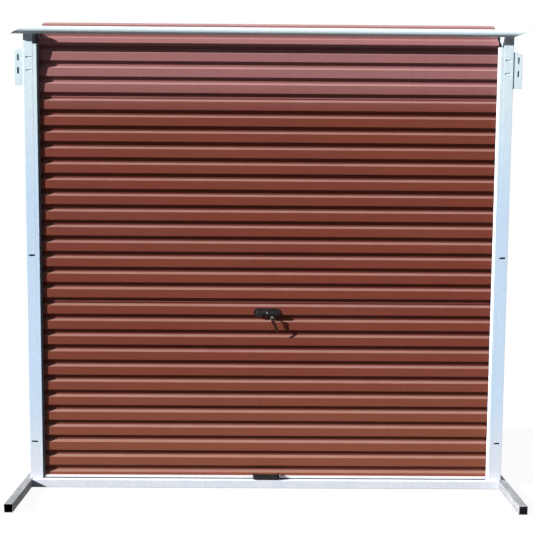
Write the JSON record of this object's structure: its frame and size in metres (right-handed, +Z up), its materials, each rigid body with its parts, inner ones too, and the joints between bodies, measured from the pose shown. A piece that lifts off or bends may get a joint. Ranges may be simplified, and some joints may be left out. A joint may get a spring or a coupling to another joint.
{
  "type": "roller shutter door",
  "caption": "Ribbed steel roller shutter door with its roll, guides, drum brackets and lock, hung in a free-standing galvanised steel stand.",
  "frame": {"origin": "on the floor at the middle of the stand's footprint", "axes": "+Z up, +X to the right as seen from the front, the face of the door looks along -Y"},
  "size_m": [2.492, 0.85, 2.3014],
  "materials": {
    "galvanised": "bright galvanised steel, satin",
    "galvanised_dull": "dull galvanised steel",
    "zinc_bolt": "zinc plated",
    "black_plastic": "moulded black plastic",
    "curtain_paint": "red-brown baked paint, satin",
    "rail_aluminium": "mill finish",
    "black_rubber": "matte",
    "dark_paint": "black baked paint, satin",
    "chrome_barrel": "polished",
    "key_steel": "nickel plated",
    "tag_leather": "dark red-brown"
  },
  "bodies": {
    "root": {"axle": "galvanised_dull", "axle_clamp_left": "zinc_bolt", "axle_clamp_right": "zinc_bolt", "base_beam": "galvanised", "bottom_handle": "dark_paint", "bottom_rail": "rail_aluminium", "bottom_seal": "black_rubber", "bracket_left": "galvanised", "bracket_right": "galvanised", "curtain_roll": "curtain_paint", "curtain_sheet_bottom": "curtain_paint", "curtain_sheet_middle": "curtain_paint", "curtain_sheet_top": "curtain_paint", "drum_wheel_centre": "galvanised_dull", "drum_wheel_left": "galvanised_dull", "drum_wheel_right": "galvanised_dull", "foot_cap_left_back": "black_plastic", "foot_cap_left_front": "black_plastic", "foot_cap_right_back": "black_plastic", "foot_cap_right_front": "black_plastic", "foot_left": "galvanised_dull", "foot_right": "galvanised_dull", "guide_left": "galvanised", "guide_right": "galvanised", "guide_strip_left": "black_plastic", "guide_strip_right": "black_plastic", "key": "key_steel", "key_ring": "key_steel", "key_tag": "tag_leather", "lock_bar_clip_left": "galvanised_dull", "lock_bar_clip_right": "galvanised_dull", "lock_bar_left": "galvanised_dull", "lock_bar_right": "galvanised_dull", "lock_barrel": "chrome_barrel", "lock_case": "galvanised_dull", "lock_plate": "dark_paint", "post_left": "galvanised", "post_right": "galvanised", "top_pipe": "galvanised"},
    "lock_handle": {"lock_handle": "dark_paint"}
  },
  "joints": [
    {"name": "lock_handle_turn", "type": "hinge", "parent": "root", "child": "lock_handle", "pos_m": [0, -0.052, 0.8778], "axis": [0, -1, 0], "range_deg": [0, 90]}
  ]
}
